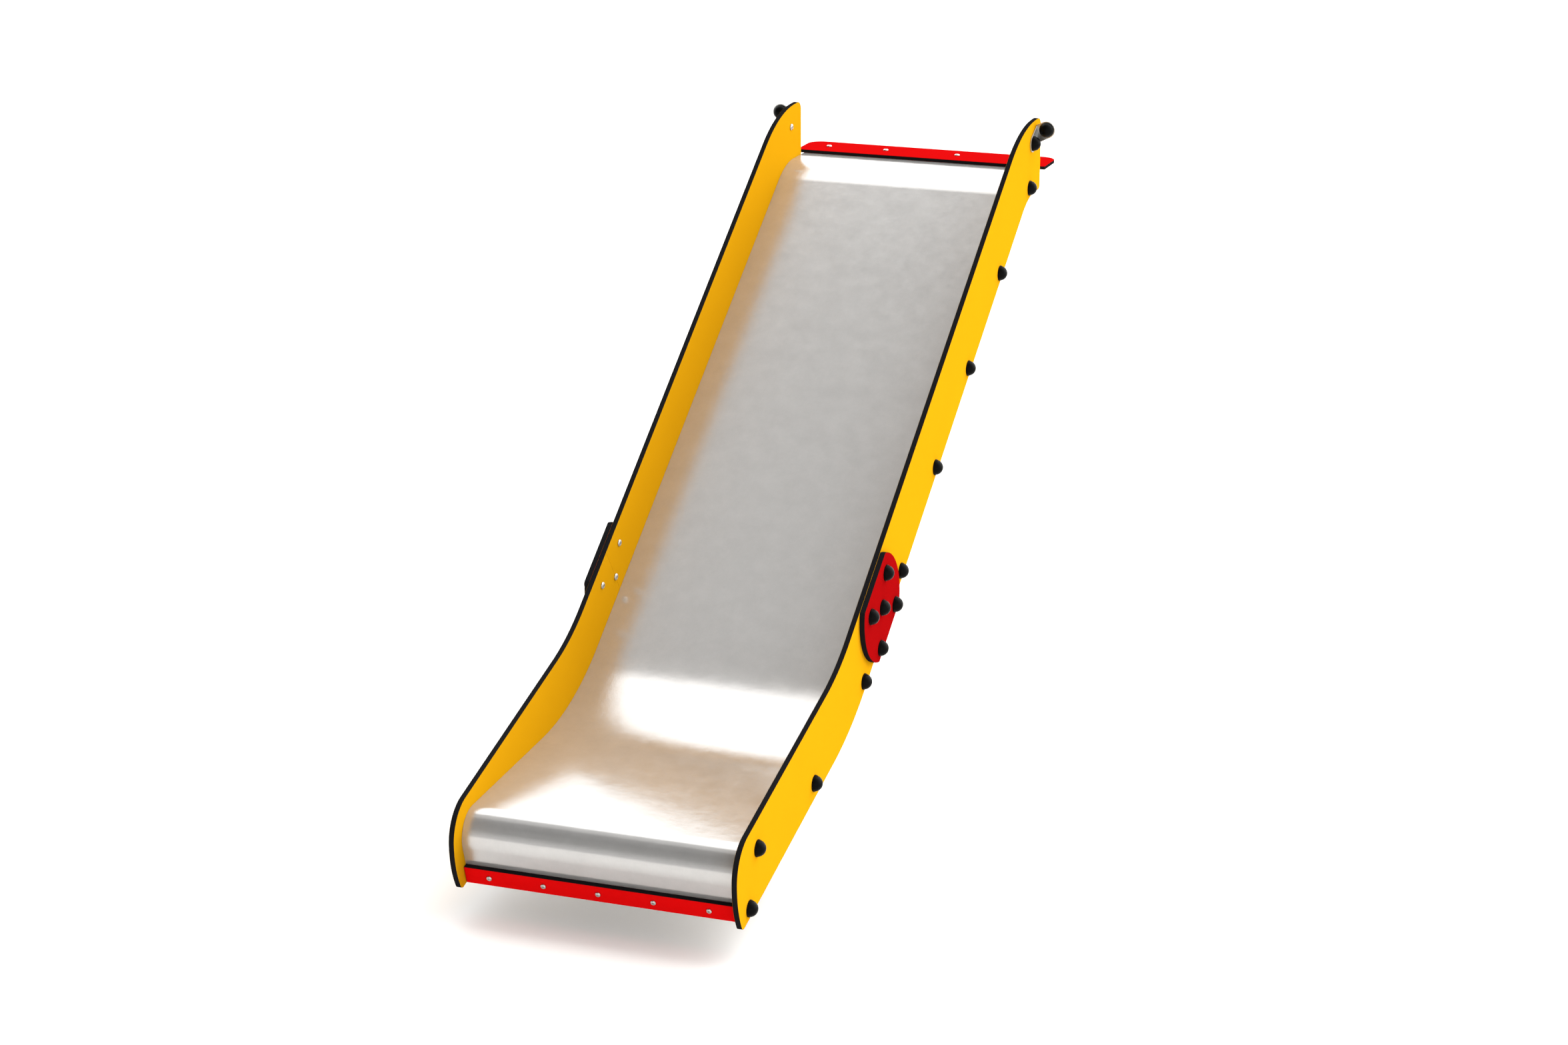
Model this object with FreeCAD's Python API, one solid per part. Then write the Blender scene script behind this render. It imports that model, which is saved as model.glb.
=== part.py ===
import FreeCAD, Part
import math
import os

V = FreeCAD.Vector
X_AXIS = V(1, 0, 0)
Y_AXIS = V(0, 1, 0)
Z_AXIS = V(0, 0, 1)

# A straight playground slide: two sheet-laminate sides, a folded stainless bed
# between them, brackets to the tower at the top and two feet under the run-out.
# Millimetres. The slide runs down towards -Y, +Z is up, and y = 0 is the line of
# the tower's front posts until everything is centred at the end.

# ---- chute: one path seen from the side, each size on its own ----
deck_height = 1200.0
exit_height = 226.0
slope_angle = 35.0
runout_angle = 3.0
slope_start = -83.0
runout_length = 521.0
chute_width = 600.0
side_height = 130.0
level_side_height = 133.0
panel_band = 175.0
side_runout_angle = 16.0
nose_cover = 33.5

# ---- round stretches ----
bed_top_radius = 180.0
bed_knee_radius = 580.0
bed_nose_radius = 58.0
tuck_angle = 18.0
panel_top_radius = 350.0
panel_knee_radius = 500.0
panel_nose_radius = 85.0
panel_chin_radius = 200.0
panel_chin_angle = 30.0
panel_tip_radius = 13.0
panel_rear_radius = 22.0
panel_rear_low_radius = 12.0

# ---- stock and seats ----
panel_thickness = 12.0
panel_rear = 30.0
sheet = 2.0
flange_depth = 38.0
bed_side_gap = 0.5
flange_rear_inset = 5.0
splice_station = 332.0
joint_plate_radius = 120.0

# ---- strips ----
strip_front = 50.0
strip_depth = 115.0
strip_overhang = 6.0
strip_thickness = 8.0
strip_corner = 35.0
strip_screw_row = 57.0
strip_screw_insets = (65.0, 91.0)
strip_screw_pitch = 148.0
nose_strip_thickness = 12.0
nose_strip_height = 40.0
nose_strip_gap = 1.0
tuck_length = 79.0
nose_screw_count = 5
nose_screw_insets = (54.0, 64.0)
batten_thickness = 20.0

# ---- side bolts ----
row_depth = 24.0
row_pitch = 296.0
row_end_clearance = 72.0
splice_to_row = 152.0
top_bolt_place = (-58.0, 24.0)
runout_bolt_station = 159.0
nose_bolt_inset = 22.0
nose_bolt_depth = 18.0
plate_bolt_reach = 60.0
plate_bolt_rise = 46.0
bolt_diameter = 8.0
bolt_hole = 9.0
thread_gap = 0.1
head_diameter = 16.0
head_height = 4.4
hex_flats = 13.0
hex_height = 6.5
washer_diameter = 16.0
washer_thickness = 1.6
washer_hole = 8.4
nut_overrun = 2.0
cap_diameter = 36.0
cap_base_height = 3.0
cap_base_bore = 20.0
cap_lip = 1.0
cap_height = 18.0
cap_wall = 2.0

# ---- tower brackets ----
bracket_thickness = 3.0
bracket_lobe = 20.5
tower_face = -9.0
panel_bolt_back = 34.0
panel_bolt_rise = 81.0
tower_bolt_out = 26.0
tower_bolt_rise = 110.0
tower_bolt_grip = 35.0

# ---- screws ----
screw_diameter = 6.0
screw_head = 13.0
screw_head_height = 3.5
screw_into_deck = 20.0
nose_screw_head = 12.0
screw_gap = 0.1

# ---- under the bed ----
stiffener_width = 40.0
stiffener_depth = 20.0
crossbar_size = 40.0
crossbar_wall = 3.0
end_block_length = 25.0
leg_half_spacing = 150.0
leg_size = 40.0
leg_wall = 3.0
base_plate_size = 100.0
base_plate_thickness = 8.0
anchor_hole = 13.0
anchor_spacing = 70.0

# ---- what follows from the sizes above ----
half_width = chute_width / 2
panel_outer = half_width + panel_thickness
plate_outer = panel_outer + panel_thickness
flange_outer = half_width - bed_side_gap
flange_inner = flange_outer - sheet
slope = math.radians(slope_angle)
runout = math.radians(runout_angle)
side_runout = math.radians(side_runout_angle)
knee_z = exit_height + runout_length * math.tan(runout)
knee_y = slope_start - (deck_height - knee_z) / math.tan(slope)
nose_y = knee_y - runout_length
panel_front = nose_y - bed_nose_radius - nose_cover
strip_rear = strip_front + strip_depth
strip_half_length = panel_outer + strip_overhang
slope_length = (deck_height - knee_z) / math.sin(slope)
nose_bolt_station = runout_length - nose_bolt_inset
centre_shift = -(panel_front + strip_rear) / 2


def direction(angle):
    """Unit vector in the side view, from its angle above the +Y direction."""
    return math.cos(angle), math.sin(angle)


def meet(point_a, angle_a, point_b, angle_b):
    """Point where two lines of the side view cross."""
    ay, az = direction(angle_a)
    by, bz = direction(angle_b)
    cross = ay * bz - az * by
    along = ((point_b[0] - point_a[0]) * bz - (point_b[1] - point_a[1]) * by) / cross
    return point_a[0] + along * ay, point_a[1] + along * az


def heading(start, end):
    return math.atan2(end[1] - start[1], end[0] - start[0])


def turn_at(before, corner, after):
    """Signed turn of a path at a corner, positive to the left."""
    turn = heading(corner, after) - heading(before, corner)
    return (turn + math.pi) % (2 * math.pi) - math.pi


def offset_path(path, distance):
    """The same path moved to its left, with its corner radii kept concentric."""
    moved = []
    count = len(path)
    for i, corner in enumerate(path):
        before = path[max(i - 1, 0)]
        after = path[min(i + 1, count - 1)]
        angle_in = heading(before, corner) if i > 0 else heading(corner, after)
        angle_out = heading(corner, after) if i < count - 1 else angle_in
        in_y = corner[0] - distance * math.sin(angle_in)
        in_z = corner[1] + distance * math.cos(angle_in)
        if i in (0, count - 1):
            moved.append((in_y, in_z, 0.0))
            continue
        out_y = corner[0] - distance * math.sin(angle_out)
        out_z = corner[1] + distance * math.cos(angle_out)
        y, z = meet((in_y, in_z), angle_in, (out_y, out_z), angle_out)
        side = math.copysign(1.0, turn_at(before, corner, after))
        moved.append((y, z, corner[2] - side * distance))
    return moved


def path_edges(path, closed):
    """Lines and tangent arcs through the corners (y, z, radius) of a path."""
    count = len(path)
    ends = []
    arcs = []
    for i, corner in enumerate(path):
        here = V(0, corner[0], corner[1])
        inner = closed or 0 < i < count - 1
        if not inner or corner[2] <= 0:
            ends.append((here, here))
            arcs.append(None)
            continue
        before = path[i - 1]
        after = path[(i + 1) % count]
        turn = turn_at(before, corner, after)
        reach = corner[2] * math.tan(abs(turn) / 2)
        in_y, in_z = direction(heading(before, corner))
        out_y, out_z = direction(heading(corner, after))
        start = here - V(0, in_y, in_z) * reach
        end = here + V(0, out_y, out_z) * reach
        bulge = corner[2] * (1 / math.cos(turn / 2) - 1)
        middle = here + (start + end - here * 2).normalize() * bulge
        ends.append((start, end))
        arcs.append(Part.Arc(start, middle, end).toShape())
    edges = []
    for i in range(count):
        if arcs[i]:
            edges.append(arcs[i])
        if i == count - 1 and not closed:
            continue
        line_start = ends[i][1]
        line_end = ends[(i + 1) % count][0]
        if line_start.distanceToPoint(line_end) > 1e-6:
            edges.append(Part.LineSegment(line_start, line_end).toShape())
    return edges


def slab(edges, x_low, x_high):
    """Solid of a closed side-view outline between two x places."""
    face = Part.Face(Part.Wire(edges))
    face.translate(V(x_low, 0, 0))
    return face.extrude(V(x_high - x_low, 0, 0))


def strip_between(path, depth, x_low, x_high):
    """Solid between an open path and the same path moved down by a depth."""
    lower = offset_path(path, depth)
    top_edges = path_edges(path, False)
    low_edges = path_edges(lower, False)
    first = Part.LineSegment(V(0, *path[0][:2]), V(0, *lower[0][:2])).toShape()
    last = Part.LineSegment(V(0, *path[-1][:2]), V(0, *lower[-1][:2])).toShape()
    edges = Part.__sortEdges__(top_edges + low_edges + [first, last])
    return slab(edges, x_low, x_high)


def rod(radius, length, start, axis):
    return Part.makeCylinder(radius, length, start, axis)


def mirrored(shape):
    return shape.mirror(V(0, 0, 0), X_AXIS)


def group(shapes):
    return shapes[0] if len(shapes) == 1 else Part.makeCompound(shapes)


# ---- places on the bed ----
def on_slope(station, depth):
    """Point a distance up the slope from the knee, and a depth under the bed."""
    y = knee_y + station * math.cos(slope) + depth * math.sin(slope)
    z = knee_z + station * math.sin(slope) - depth * math.cos(slope)
    return y, z


def on_runout(station, depth):
    """Point a distance along the run-out from the knee, and a depth under it."""
    y = knee_y - station * math.cos(runout) + depth * math.sin(runout)
    z = knee_z - station * math.sin(runout) - depth * math.cos(runout)
    return y, z


nose_centre = on_runout(runout_length / math.cos(runout), bed_nose_radius)
tuck = math.radians(tuck_angle)


def on_tuck(length, depth):
    """Point down the tucked end from the nose, and a depth behind its face."""
    y = nose_centre[0] - (bed_nose_radius - depth) * math.cos(tuck) + length * math.sin(tuck)
    z = nose_centre[1] - (bed_nose_radius - depth) * math.sin(tuck) - length * math.cos(tuck)
    return y, z


def bed_path():
    """The sliding surface from the platform to the tucked end, in the side view."""
    tuck_end = on_tuck(tuck_length, 0.0)
    tuck_heading = tuck - math.pi / 2
    nose_corner = meet((knee_y, knee_z), runout, tuck_end, tuck_heading)
    return [
        (strip_rear, deck_height, 0.0),
        (slope_start, deck_height, bed_top_radius),
        (knee_y, knee_z, bed_knee_radius),
        (nose_corner[0], nose_corner[1], bed_nose_radius),
        (tuck_end[0], tuck_end[1], 0.0),
    ]


# ---- sides ----
def side_outline():
    """Closed outline of a whole side: a band of one width, ending in a round nose."""
    slope_point = on_slope(0.0, -side_height)
    top_z = deck_height + level_side_height
    top_corner = meet(slope_point, slope, (0.0, top_z), 0.0)
    knee = meet(slope_point, slope, (knee_y, 0.0), math.pi / 2)
    nose = meet(knee, side_runout, (panel_front, 0.0), math.pi / 2)
    upper = [
        (panel_rear, top_z, 0.0),
        (top_corner[0], top_corner[1], panel_top_radius),
        (knee[0], knee[1], panel_knee_radius),
        (nose[0], nose[1], 0.0),
    ]
    lower = offset_path(upper, panel_band)
    chin_angle = math.radians(panel_chin_angle)
    fall = panel_nose_radius * math.tan((math.pi / 2 - side_runout) / 2)
    chin_z = nose[1] - fall - panel_chin_radius * math.tan(chin_angle / 2)
    chin = (panel_front, chin_z)
    tip = meet(chin, chin_angle - math.pi / 2, lower[2][:2], side_runout)
    return [
        (panel_rear, top_z, panel_rear_radius),
        upper[1],
        upper[2],
        (nose[0], nose[1], panel_nose_radius),
        (chin[0], chin[1], panel_chin_radius),
        (tip[0], tip[1], panel_tip_radius),
        lower[2],
        lower[1],
        (panel_rear, top_z - panel_band, panel_rear_low_radius),
    ]


def whole_side():
    return slab(path_edges(side_outline(), True), half_width, panel_outer)


def above_splice():
    """Everything uphill of the joint, a plane square to the slope."""
    size = 3 * runout_length + deck_height
    box = Part.makeBox(size, 2 * size, 2 * size, V(0, 0, -size))
    box.rotate(V(0, 0, 0), X_AXIS, slope_angle)
    y, z = on_slope(splice_station, 0.0)
    box.translate(V(0, y, z))
    return box


band_middle = panel_band / 2 - side_height


def joint_plate():
    """Round plate over the joint, trimmed flush with the side's two edges."""
    y, z = on_slope(splice_station, band_middle)
    disc = rod(joint_plate_radius, panel_thickness, V(panel_outer, y, z), X_AXIS)
    band = slab(path_edges(side_outline(), True), panel_outer, plate_outer)
    return disc.common(band)


# ---- bed ----
def bed():
    """Folded sheet: the sliding surface with a flange turned down along each side."""
    path = bed_path()
    skin = strip_between(path, sheet, -flange_outer, flange_outer)
    nose_start = on_runout(runout_length / math.cos(runout), 0.0)
    flange_path = [
        (panel_rear - flange_rear_inset, deck_height, 0.0),
        path[1],
        path[2],
        (nose_start[0], nose_start[1], 0.0),
    ]
    flange = strip_between(flange_path, flange_depth, flange_inner, flange_outer)
    return skin.fuse([flange, mirrored(flange)]).removeSplitter()


def stiffener(place, angle_degrees):
    """Folded channel welded across the underside of the bed by its two edges."""
    length = 2 * flange_inner
    outer = Part.makeBox(length, stiffener_width, stiffener_depth)
    inner_width = stiffener_width - 2 * sheet
    inner = Part.makeBox(length, inner_width, stiffener_depth - sheet, V(0, sheet, sheet))
    channel = outer.cut(inner)
    channel.translate(V(-length / 2, -stiffener_width / 2, -sheet - stiffener_depth))
    channel.rotate(V(0, 0, 0), X_AXIS, angle_degrees)
    channel.translate(V(0, *place))
    return channel


def upper_row_stations():
    """Bolts of the lower row above the joint, as many as the slope has room for."""
    first = splice_station + splice_to_row
    count = 1 + int((slope_length - row_end_clearance - first) // row_pitch)
    return [first + i * row_pitch for i in range(count)]


def stiffeners():
    """One behind the joint, one midway between row bolts, one midway on the run-out."""
    stations = [splice_station]
    stations += [station + row_pitch / 2 for station in upper_row_stations()[:-1]]
    made = [stiffener(on_slope(station, 0.0), slope_angle) for station in stations]
    runout_station = (runout_bolt_station + nose_bolt_station) / 2
    made.append(stiffener(on_runout(runout_station, 0.0), runout_angle))
    return made


# ---- strips ----
def top_strip():
    """Laminate strip over the bed's rear edge on the platform, rear corners rounded.

    It is drawn in the side view's plane and turned down flat about the cube's diagonal.
    """
    points = [
        (-strip_half_length, strip_front, 0.0),
        (strip_half_length, strip_front, 0.0),
        (strip_half_length, strip_rear, strip_corner),
        (-strip_half_length, strip_rear, strip_corner),
    ]
    face = Part.Face(Part.Wire(path_edges(points, True)))
    face.rotate(V(0, 0, 0), V(1, 1, 1), -120)
    face.translate(V(0, 0, deck_height))
    return face.extrude(V(0, 0, strip_thickness))


def tuck_block(start, height, front, back, half_length):
    """Bar along the tucked end, from one depth behind its face to another."""
    corners = [on_tuck(start, front), on_tuck(start + height, front)]
    corners += [on_tuck(start + height, back), on_tuck(start, back)]
    edges = path_edges([(y, z, 0.0) for y, z in corners], True)
    return slab(edges, -half_length, half_length)


strip_start = tuck_length - nose_strip_height
strip_middle = strip_start + nose_strip_height / 2


def nose_strip():
    half = half_width - nose_strip_gap
    return tuck_block(strip_start, nose_strip_height, -nose_strip_thickness, 0.0, half)


def nose_batten():
    back = sheet + batten_thickness
    return tuck_block(strip_start, nose_strip_height, sheet, back, flange_outer)


# ---- fasteners on the right-hand side; the left-hand ones are their mirror ----
top_bolt = (top_bolt_place[0], deck_height - top_bolt_place[1])
row_stations = [splice_station - splice_to_row] + upper_row_stations()
row_bolts = [on_slope(station, row_depth) for station in row_stations]
row_bolts += [top_bolt, on_runout(nose_bolt_station, nose_bolt_depth)]
plate_row_bolts = [
    on_slope(splice_station + plate_bolt_reach, row_depth),
    on_slope(splice_station - plate_bolt_reach, row_depth),
]
plate_face_bolts = [
    on_slope(splice_station, band_middle),
    on_slope(splice_station + plate_bolt_reach, band_middle - plate_bolt_rise),
    on_slope(splice_station - plate_bolt_reach, band_middle - plate_bolt_rise),
]
crossbar_bolt = on_runout(runout_bolt_station, row_depth)
batten_bolt = on_tuck(strip_middle, sheet + batten_thickness / 2)
bracket_bolt = (tower_face - panel_bolt_back, deck_height + panel_bolt_rise)


def hexagon(height, start, axis):
    """Hexagonal prism standing on a plane through start."""
    radius = hex_flats / math.sqrt(3)
    corners = []
    for i in range(7):
        angle = math.radians(60 * i)
        corners.append(V(radius * math.cos(angle), radius * math.sin(angle), 0))
    prism = Part.Face(Part.makePolygon(corners)).extrude(V(0, 0, height))
    prism.Placement = FreeCAD.Placement(start, FreeCAD.Rotation(Z_AXIS, axis))
    return prism


def button_bolt(start, axis, grip):
    """Round-headed bolt; start is under the head, grip what it clamps."""
    height = head_height
    head = Part.makeCone(head_diameter / 2, head_diameter / 3, height, start, axis * -1)
    length = grip + washer_thickness + hex_height + nut_overrun
    return head.fuse(rod(bolt_diameter / 2, length, start, axis)).removeSplitter()


def hex_bolt(start, axis, length):
    """Hexagon-headed bolt that screws in; start is under its washer."""
    head = hexagon(hex_height, start - axis * washer_thickness, axis * -1)
    under = start - axis * washer_thickness
    shank = rod(bolt_diameter / 2, length + washer_thickness, under, axis)
    return head.fuse(shank).removeSplitter()


def nut(start, axis):
    body = hexagon(hex_height, start, axis)
    bore = rod(bolt_diameter / 2 + thread_gap, hex_height, start, axis)
    return body.cut(bore)


def washer(start, axis):
    body = rod(washer_diameter / 2, washer_thickness, start, axis)
    return body.cut(rod(washer_hole / 2, washer_thickness, start, axis))


def cap_base(start, axis):
    body = rod(cap_diameter / 2, cap_base_height, start, axis)
    return body.cut(rod(cap_base_bore / 2, cap_base_height, start, axis))


def cap_dome(start, axis):
    """Hollow dome that snaps on to its base ring."""
    foot = cap_diameter / 2 - cap_lip
    rise = cap_height - cap_base_height
    radius = (foot ** 2 + rise ** 2) / (2 * rise)
    centre = start + axis * (cap_height - radius)
    ball = Part.makeSphere(radius, centre)
    hollow = Part.makeSphere(radius - cap_wall, centre)
    keep = rod(cap_diameter, cap_diameter, start + axis * cap_base_height, axis)
    return ball.common(keep).cut(hollow)


def hole(place, x_low, x_high, diameter=bolt_hole):
    return rod(diameter / 2, x_high - x_low, V(x_low, *place), X_AXIS)


def drilled(shape, places, x_low, x_high):
    return shape.cut([hole(place, x_low, x_high) for place in places])


# ---- tower bracket ----
tower_bolt = V(panel_outer + tower_bolt_out, tower_face, deck_height + tower_bolt_rise)


def outline_hull(circle_centre, edge_low, edge_high):
    """Plate outline: a round lobe joined tangentially to a straight edge."""
    centre = V(*circle_centre)
    tangent_points = []
    for corner, side in ((V(*edge_low), -1), (V(*edge_high), 1)):
        reach = corner - centre
        distance = math.hypot(reach.x, reach.y)
        swing = math.acos(bracket_lobe / distance)
        base = math.atan2(reach.y, reach.x)
        direction_out = math.copysign(1.0, reach.x) * side
        angle = base + direction_out * swing
        offset = V(math.cos(angle), math.sin(angle), 0) * bracket_lobe
        tangent_points.append(centre + offset)
    away = centre - (V(*edge_low) + V(*edge_high)) * 0.5
    far = centre + away.normalize() * bracket_lobe
    edges = [
        Part.LineSegment(V(*edge_low), V(*edge_high)).toShape(),
        Part.LineSegment(V(*edge_high), tangent_points[1]).toShape(),
        Part.Arc(tangent_points[1], far, tangent_points[0]).toShape(),
        Part.LineSegment(tangent_points[0], V(*edge_low)).toShape(),
    ]
    return Part.Face(Part.Wire(edges))


def bracket():
    """Bent plate: one leg on the side's outer face, one on the tower's upright."""
    plate_run = panel_bolt_back + tower_bolt_out
    rise = tower_bolt_rise - panel_bolt_rise
    half = bracket_lobe * math.hypot(plate_run, rise) / plate_run
    bend_z = deck_height + panel_bolt_rise + rise * panel_bolt_back / plate_run
    low, high = bend_z - half, bend_z + half
    side_leg = outline_hull((*bracket_bolt, 0), (tower_face, low, 0), (tower_face, high, 0))
    side_leg.rotate(V(0, 0, 0), V(1, 1, 1), 120)
    side_leg.translate(V(panel_outer, 0, 0))
    side_leg = side_leg.extrude(V(bracket_thickness, 0, 0))
    lobe = (tower_bolt.x, tower_bolt.z, 0)
    tower_leg = outline_hull(lobe, (panel_outer, low, 0), (panel_outer, high, 0))
    tower_leg.rotate(V(0, 0, 0), X_AXIS, 90)
    tower_leg.translate(V(0, tower_face, 0))
    tower_leg = tower_leg.extrude(V(0, -bracket_thickness, 0))
    bent = side_leg.fuse(tower_leg).removeSplitter()
    side_hole = hole(bracket_bolt, panel_outer, panel_outer + bracket_thickness)
    start = tower_bolt - Y_AXIS * bracket_thickness
    tower_hole = rod(bolt_hole / 2, bracket_thickness, start, Y_AXIS)
    return bent.cut([side_hole, tower_hole])


# ---- support under the run-out ----
def square_tube(length, size, wall):
    """Square tube standing on the origin."""
    outer = Part.makeBox(size, size, length, V(-size / 2, -size / 2, 0))
    bore = size - 2 * wall
    return outer.cut(Part.makeBox(bore, bore, length, V(-bore / 2, -bore / 2, 0)))


def crossbar():
    """Tube across the bed, between its flanges, on the run-out bolts' axis."""
    tube = square_tube(2 * flange_inner, crossbar_size, crossbar_wall)
    tube.rotate(V(0, 0, 0), Y_AXIS, 90)
    tube.translate(V(-flange_inner, *crossbar_bolt))
    return tube


def crossbar_end_block():
    """Tapped block welded in the tube's end."""
    bore = crossbar_size - 2 * crossbar_wall
    corner = V(flange_inner - end_block_length, -bore / 2, -bore / 2)
    block = Part.makeBox(end_block_length, bore, bore, corner)
    block.translate(V(0, *crossbar_bolt))
    tapped = bolt_diameter + 2 * thread_gap
    return block.cut(hole(crossbar_bolt, flange_inner - end_block_length, flange_inner, tapped))


def leg():
    under = crossbar_bolt[1] - crossbar_size / 2
    tube = square_tube(under - base_plate_thickness, leg_size, leg_wall)
    tube.translate(V(leg_half_spacing, crossbar_bolt[0], base_plate_thickness))
    return tube


def base_plate():
    half = base_plate_size / 2
    plate = Part.makeBox(base_plate_size, base_plate_size, base_plate_thickness, V(-half, -half, 0))
    for x in (-anchor_spacing / 2, anchor_spacing / 2):
        for y in (-anchor_spacing / 2, anchor_spacing / 2):
            plate = plate.cut(rod(anchor_hole / 2, base_plate_thickness, V(x, y, 0), Z_AXIS))
    plate.translate(V(leg_half_spacing, crossbar_bolt[0], 0))
    return plate


# ---- screws of the two strips ----
def screw(start, axis, head, length):
    """Pan-headed screw; start is under the head."""
    top = Part.makeCone(head / 2, head / 3, screw_head_height, start, axis * -1)
    return top.fuse(rod(screw_diameter / 2, length, start, axis)).removeSplitter()


top_screw_y = strip_front + strip_screw_row
top_screw_left = -strip_half_length + strip_screw_insets[0]
top_screw_right = strip_half_length - strip_screw_insets[1]
top_screw_places = [
    top_screw_left,
    top_screw_left + strip_screw_pitch,
    top_screw_right - strip_screw_pitch,
    top_screw_right,
]
top_screw_starts = [V(x, top_screw_y, deck_height + strip_thickness) for x in top_screw_places]
nose_screw_axis = V(0, math.cos(tuck), math.sin(tuck))
nose_strip_half = half_width - nose_strip_gap
nose_screw_first = nose_screw_insets[0] - nose_strip_half
nose_screw_pitch = (2 * nose_strip_half - sum(nose_screw_insets)) / (nose_screw_count - 1)
nose_screw_starts = [
    V(nose_screw_first + i * nose_screw_pitch, *on_tuck(strip_middle, -nose_strip_thickness))
    for i in range(nose_screw_count)
]
nose_screw_length = nose_strip_thickness + sheet + batten_thickness / 2
top_screw_length = strip_thickness + sheet + screw_into_deck


def screw_holes(starts, axis, length):
    radius = screw_diameter / 2 + screw_gap
    return [rod(radius, length, start, axis) for start in starts]


top_holes = screw_holes(top_screw_starts, Z_AXIS * -1, top_screw_length)
nose_holes = screw_holes(nose_screw_starts, nose_screw_axis, nose_screw_length)


# ---- assembly ----
def side_pieces():
    """Every piece of the right-hand side, by the name it has there."""
    through_side = row_bolts + plate_row_bolts + plate_face_bolts
    through_side = through_side + [crossbar_bolt, batten_bolt, bracket_bolt]
    side = drilled(whole_side(), through_side, half_width, panel_outer)
    uphill = above_splice()
    plate_places = plate_row_bolts + plate_face_bolts
    rows = [
        (row_bolts, flange_inner, panel_outer),
        (plate_row_bolts, flange_inner, plate_outer),
        (plate_face_bolts, half_width, plate_outer),
        ([bracket_bolt], half_width, panel_outer + bracket_thickness),
    ]
    side_bolts = []
    plate_bolts = []
    nuts = []
    washers = []
    bases = []
    domes = []
    for places, inside, outside in rows:
        for place in places:
            bolt = button_bolt(V(inside, *place), X_AXIS, outside - inside)
            kind = plate_bolts if outside == plate_outer else side_bolts
            kind.append(bolt)
            face = V(outside, *place)
            washers.append(washer(face, X_AXIS))
            nuts.append(nut(face + X_AXIS * washer_thickness, X_AXIS))
            bases.append(cap_base(face, X_AXIS))
            domes.append(cap_dome(face, X_AXIS))
    end_bolts = []
    block_reach = panel_outer - flange_inner + end_block_length - nut_overrun
    for place in (crossbar_bolt, batten_bolt):
        face = V(panel_outer, *place)
        end_bolts.append(hex_bolt(face, X_AXIS * -1, block_reach))
        washers.append(washer(face, X_AXIS))
        bases.append(cap_base(face, X_AXIS))
        domes.append(cap_dome(face, X_AXIS))
    tower_front = tower_bolt - Y_AXIS * bracket_thickness
    outwards = Y_AXIS * -1
    grip = bracket_thickness + tower_bolt_grip
    washers.append(washer(tower_front, outwards))
    bases.append(cap_base(tower_front, outwards))
    domes.append(cap_dome(tower_front, outwards))
    return {
        "side_upper": side.common(uphill),
        "side_lower": side.cut(uphill),
        "joint_plate": drilled(joint_plate(), plate_places, panel_outer, plate_outer),
        "tower_bracket": bracket(),
        "side_bolts": group(side_bolts),
        "joint_plate_bolts": group(plate_bolts),
        "end_bolts": group(end_bolts),
        "tower_bolt": hex_bolt(tower_front, Y_AXIS, grip),
        "nuts": group(nuts),
        "washers": group(washers),
        "cap_bases": group(bases),
        "cap_domes": group(domes),
        "crossbar_end_block": crossbar_end_block(),
        "support_leg": leg(),
        "base_plate": base_plate(),
    }


def centre_pieces():
    """Pieces that span the chute."""
    flange_places = row_bolts + plate_row_bolts + [crossbar_bolt]
    both_flanges = [hole(place, -flange_outer, flange_outer) for place in flange_places]
    tapped = bolt_diameter + 2 * thread_gap
    batten_holes = [hole(batten_bolt, -flange_outer, flange_outer, tapped)]
    return {
        "slide_bed": bed().cut(both_flanges + top_holes + nose_holes),
        "bed_stiffeners": group(stiffeners()),
        "top_strip": top_strip().cut(top_holes),
        "bottom_strip": nose_strip().cut(nose_holes),
        "bottom_batten": nose_batten().cut(nose_holes + batten_holes),
        "support_crossbar": crossbar(),
        "top_strip_screws": group([
            screw(start, Z_AXIS * -1, screw_head, top_screw_length) for start in top_screw_starts
        ]),
        "bottom_strip_screws": group([
            screw(start, nose_screw_axis, nose_screw_head, nose_screw_length)
            for start in nose_screw_starts
        ]),
    }


def all_pieces():
    pieces = centre_pieces()
    for name, shape in side_pieces().items():
        pieces["right_" + name] = shape
        pieces["left_" + name] = mirrored(shape)
    return pieces


os.makedirs("parts", exist_ok=True)
for name, shape in all_pieces().items():
    shape.translate(V(0, centre_shift, 0))
    shape.exportStep("parts/" + name + ".step")
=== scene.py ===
import math

import bpy
from mathutils import Matrix, Vector


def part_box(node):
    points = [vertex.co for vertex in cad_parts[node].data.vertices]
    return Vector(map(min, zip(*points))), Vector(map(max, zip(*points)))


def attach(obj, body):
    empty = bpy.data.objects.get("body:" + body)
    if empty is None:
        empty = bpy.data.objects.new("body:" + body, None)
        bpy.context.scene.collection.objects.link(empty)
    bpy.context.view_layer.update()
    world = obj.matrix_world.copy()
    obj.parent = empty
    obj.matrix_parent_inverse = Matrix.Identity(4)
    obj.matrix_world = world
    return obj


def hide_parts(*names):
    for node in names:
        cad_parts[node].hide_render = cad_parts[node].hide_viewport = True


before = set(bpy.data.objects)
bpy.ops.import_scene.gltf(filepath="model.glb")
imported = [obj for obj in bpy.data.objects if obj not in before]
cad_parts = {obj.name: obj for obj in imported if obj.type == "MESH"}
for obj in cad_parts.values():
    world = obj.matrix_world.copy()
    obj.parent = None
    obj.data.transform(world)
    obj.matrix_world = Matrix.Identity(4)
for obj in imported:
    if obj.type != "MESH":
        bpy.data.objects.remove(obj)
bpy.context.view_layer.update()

# ---------------------------------------------------------------------------
# The chute bed: one stainless sheet, 2 mm thick, folded down along both edges.
# It runs level from the platform, bends into the slope, flattens into the
# run-out and rolls over a round nose that is tucked back underneath.
# ---------------------------------------------------------------------------
deck_height = 1.200
exit_height = 0.226
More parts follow.
